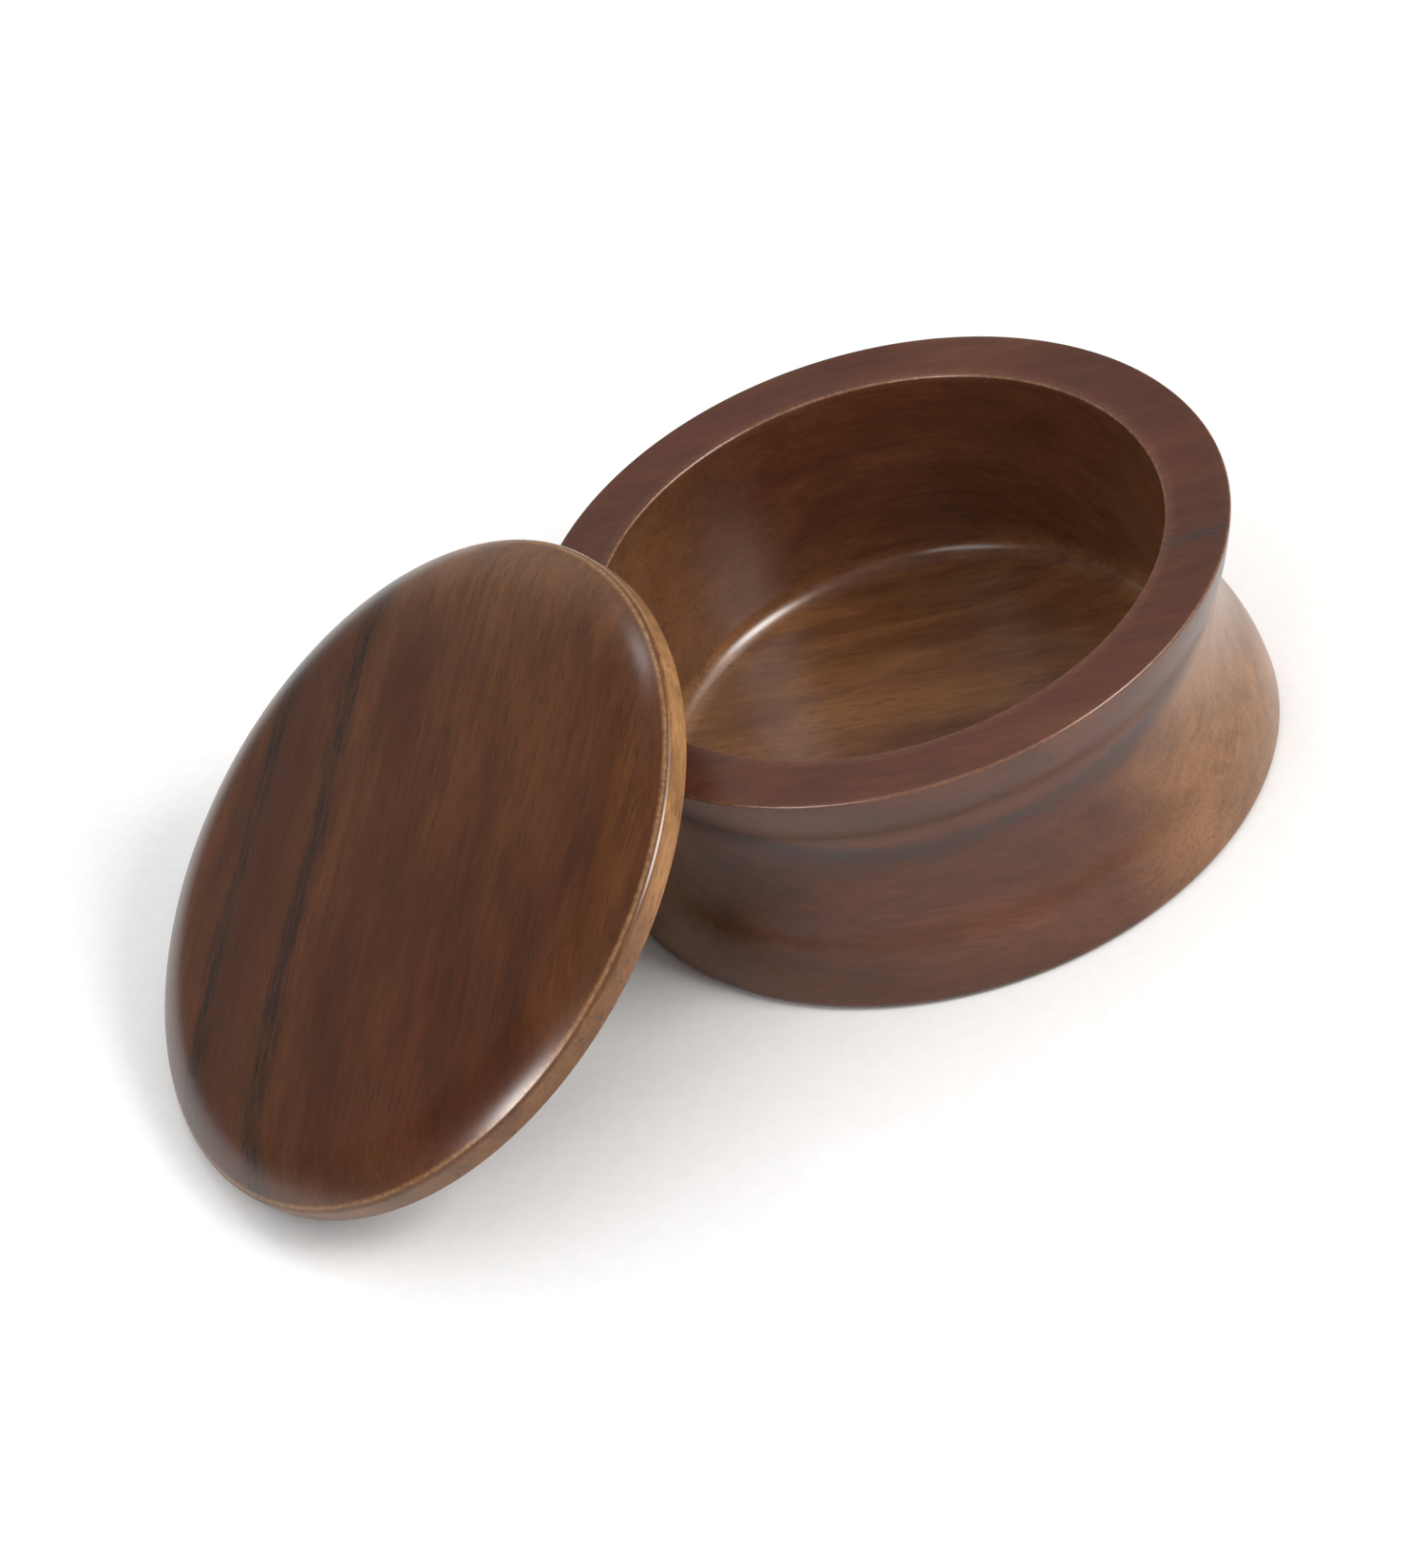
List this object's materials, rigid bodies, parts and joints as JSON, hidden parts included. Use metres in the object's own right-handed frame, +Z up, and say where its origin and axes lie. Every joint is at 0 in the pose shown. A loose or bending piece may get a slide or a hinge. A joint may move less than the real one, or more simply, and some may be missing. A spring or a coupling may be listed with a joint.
{
  "type": "shaving mug",
  "caption": "Turned wooden shaving bowl without a handle: waisted wall, flat inner floor, flat base, and a loose round lid that leans on the rim with its edge on the ground.",
  "frame": {"origin": "centre of the bowl's flat base, on the surface that it stands on", "axes": "+Z up along the bowl's turning axis; -X towards the lid, which leans on the rim; +Y completes the right-handed frame"},
  "size_m": [0.1861, 0.1098, 0.0614],
  "materials": {
    "bowl_wood": "satin lacquer over dark stained wood, figured grain",
    "lid_wood": "satin lacquer over dark stained wood, straight grain with near-black streaks"
  },
  "bodies": {
    "bowl": {"bowl": "bowl_wood"},
    "lid": {"lid": "lid_wood"}
  },
  "joints": [
    {"name": "lid_lift", "type": "slide", "parent": "bowl", "child": "lid", "axis": [-0.5336, 0, 0.8457], "range_m": [0, 0.12]}
  ]
}
